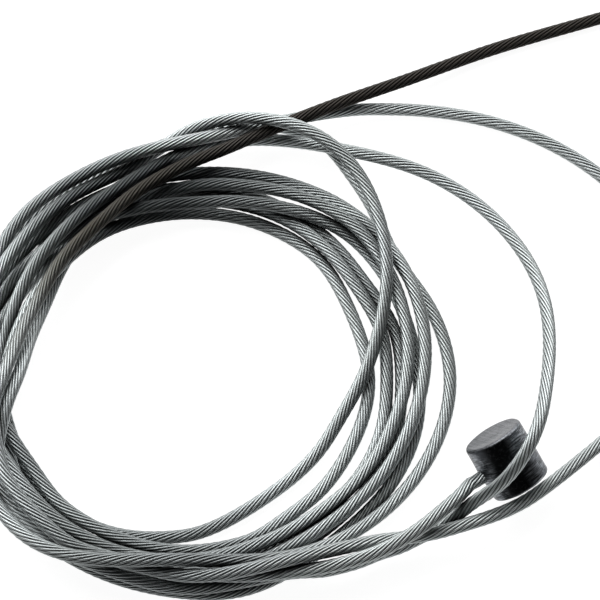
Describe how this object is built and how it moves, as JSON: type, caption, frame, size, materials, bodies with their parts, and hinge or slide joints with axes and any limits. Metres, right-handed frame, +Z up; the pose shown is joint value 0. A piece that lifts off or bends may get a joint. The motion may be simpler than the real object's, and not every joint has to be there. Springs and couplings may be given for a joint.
{
  "type": "bicycle brake inner cable",
  "caption": "Steel inner cable of a bicycle brake with a cast barrel nipple on one end, lying loosely coiled, its free end running off to one side.",
  "frame": {"origin": "centre of the bounding box, at the surface that the coil lies on", "axes": "+Z up, +X towards the free end's side, -Y towards the viewer of the picture"},
  "size_m": [0.082, 0.0754, 0.0098],
  "materials": {
    "galvanised_steel": "galvanised wire, satin",
    "cast_zinc": "die-cast, dull and slightly scratched"
  },
  "bodies": {
    "root": {"cable_strand": "galvanised_steel", "barrel_nipple": "cast_zinc"}
  },
  "joints": []
}
